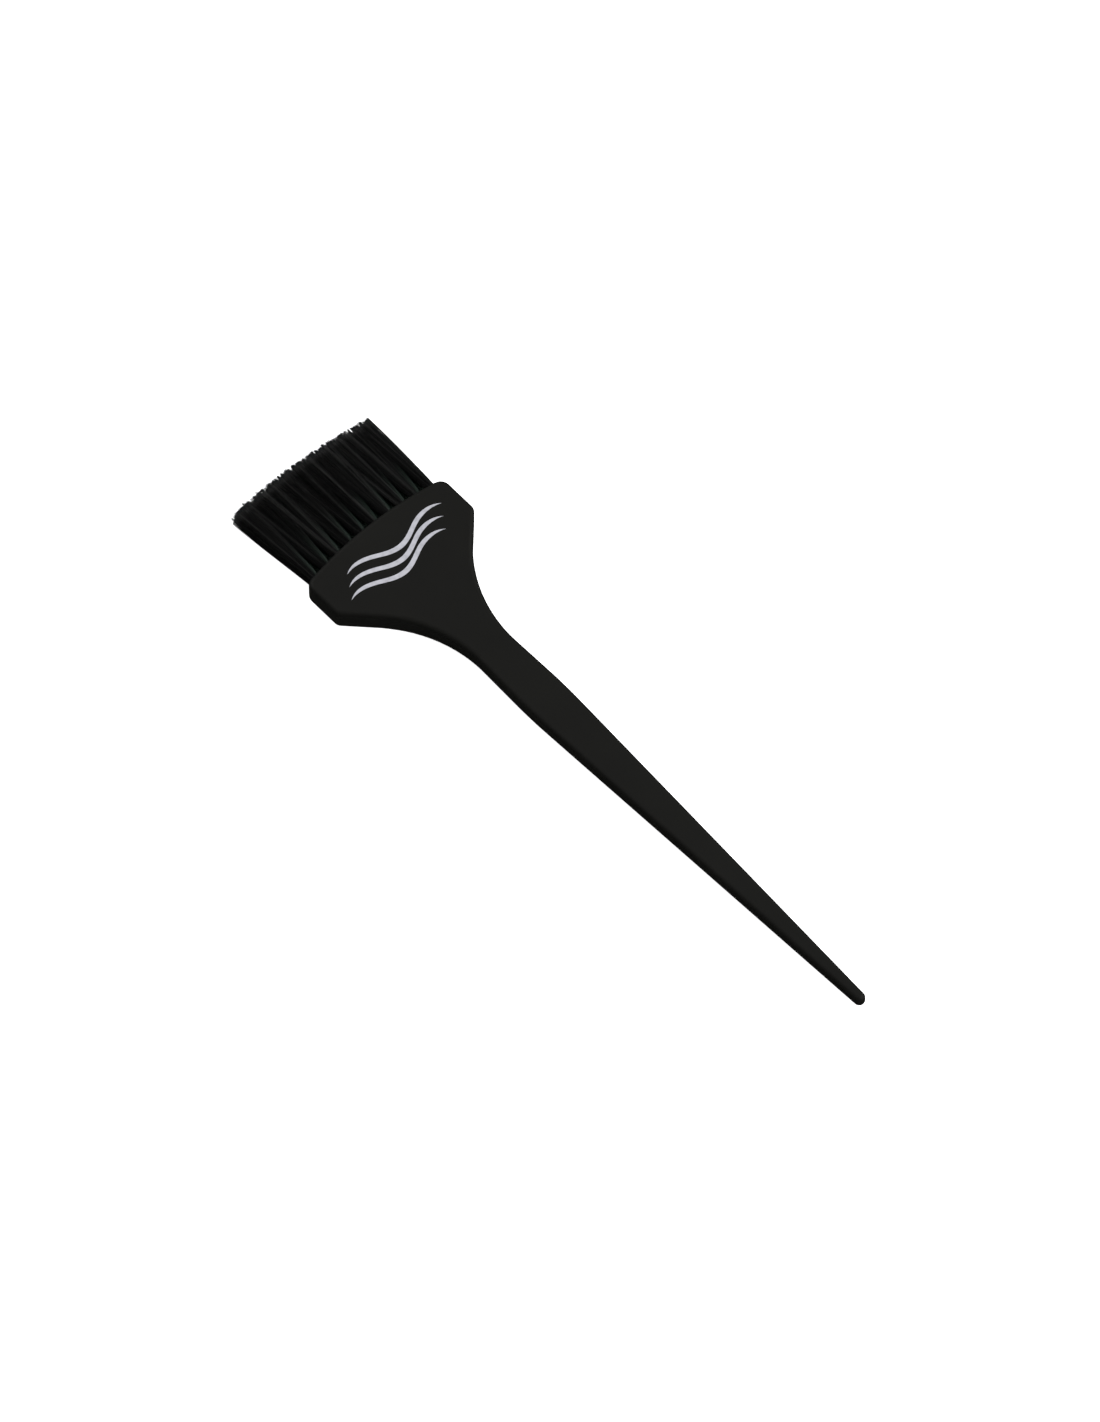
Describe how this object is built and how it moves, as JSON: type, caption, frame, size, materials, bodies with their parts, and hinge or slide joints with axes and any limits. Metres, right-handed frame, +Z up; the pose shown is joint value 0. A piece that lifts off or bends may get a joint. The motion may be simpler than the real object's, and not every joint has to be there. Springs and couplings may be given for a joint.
{
  "type": "hair tint brush",
  "caption": "Flat salon tint brush: wide head with rows of flared filament tufts stapled into its front edge, concave shoulders and a long handle tapering to a round sectioning tail.",
  "frame": {"origin": "under the middle of the brush's length and width, on the surface it lies on", "axes": "+Y from the tail tip to the bristle tips, +X across the head, +Z up through the thickness"},
  "size_m": [0.0488, 0.22, 0.0071],
  "materials": {
    "handle_plastic": "satin moulded",
    "filament": "semi-gloss nylon",
    "anchor_wire": "drawn flat wire",
    "ink": "pad printed"
  },
  "bodies": {
    "root": {"anchors_bottom_row": "anchor_wire", "anchors_top_row": "anchor_wire", "handle": "handle_plastic", "printed_mark": "ink", "tuft_bottom_01": "filament", "tuft_bottom_02": "filament", "tuft_bottom_03": "filament", "tuft_bottom_04": "filament", "tuft_bottom_05": "filament", "tuft_bottom_06": "filament", "tuft_bottom_07": "filament", "tuft_bottom_08": "filament", "tuft_bottom_09": "filament", "tuft_bottom_10": "filament", "tuft_top_01": "filament", "tuft_top_02": "filament", "tuft_top_03": "filament", "tuft_top_04": "filament", "tuft_top_05": "filament", "tuft_top_06": "filament", "tuft_top_07": "filament", "tuft_top_08": "filament", "tuft_top_09": "filament", "tuft_top_10": "filament"}
  },
  "joints": []
}
